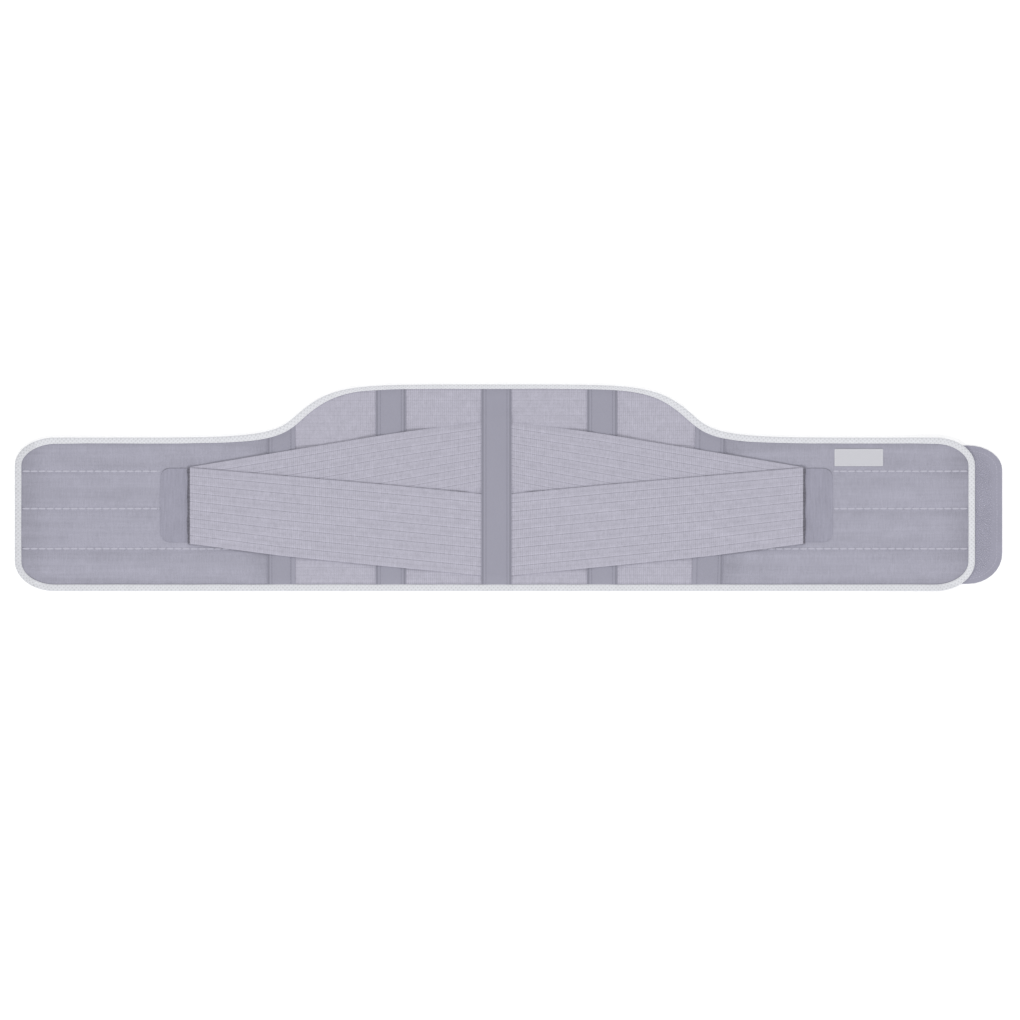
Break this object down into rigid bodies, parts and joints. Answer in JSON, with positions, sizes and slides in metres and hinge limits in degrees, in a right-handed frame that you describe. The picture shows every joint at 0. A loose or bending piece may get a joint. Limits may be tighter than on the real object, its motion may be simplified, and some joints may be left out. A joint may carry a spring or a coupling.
{
  "type": "maternity belt",
  "caption": "Maternity support belt laid flat: padded wings, raised ribbed elastic back, upright casings, crossed elastic pull straps, mesh edge binding and a hook closure tab",
  "frame": {"origin": "centre of the laid-out belt's outline, on the surface that it lies on", "axes": "+X along the belt to its closure tab, +Y up the wearer's back, +Z out of the outer face"},
  "size_m": [1.008, 0.211, 0.0077],
  "materials": {
    "loop_cloth": "brushed loop cloth",
    "ribbed_elastic": "ribbed knitted elastic",
    "strap_elastic": "ribbed woven elastic",
    "casing_tape": "plain woven tape",
    "mesh_binding": "white mesh tape",
    "tab_cloth": "smooth woven tab",
    "hook_tape": "rough hook tape",
    "label_cloth": "blank woven label"
  },
  "bodies": {
    "root": {"wing_left": "loop_cloth", "wing_right": "loop_cloth", "back_panel": "ribbed_elastic", "edge_binding_left": "mesh_binding", "edge_binding_right": "mesh_binding", "edge_binding_top": "mesh_binding", "edge_binding_bottom": "mesh_binding", "casing_outer_left": "casing_tape", "casing_inner_left": "casing_tape", "casing_centre": "casing_tape", "casing_inner_right": "casing_tape", "casing_outer_right": "casing_tape", "strap_upper_left": "strap_elastic", "strap_lower_left": "strap_elastic", "strap_upper_right": "strap_elastic", "strap_lower_right": "strap_elastic", "strap_tab_left": "tab_cloth", "strap_tab_right": "tab_cloth", "closure_tab": "hook_tape", "label": "label_cloth"}
  },
  "joints": []
}
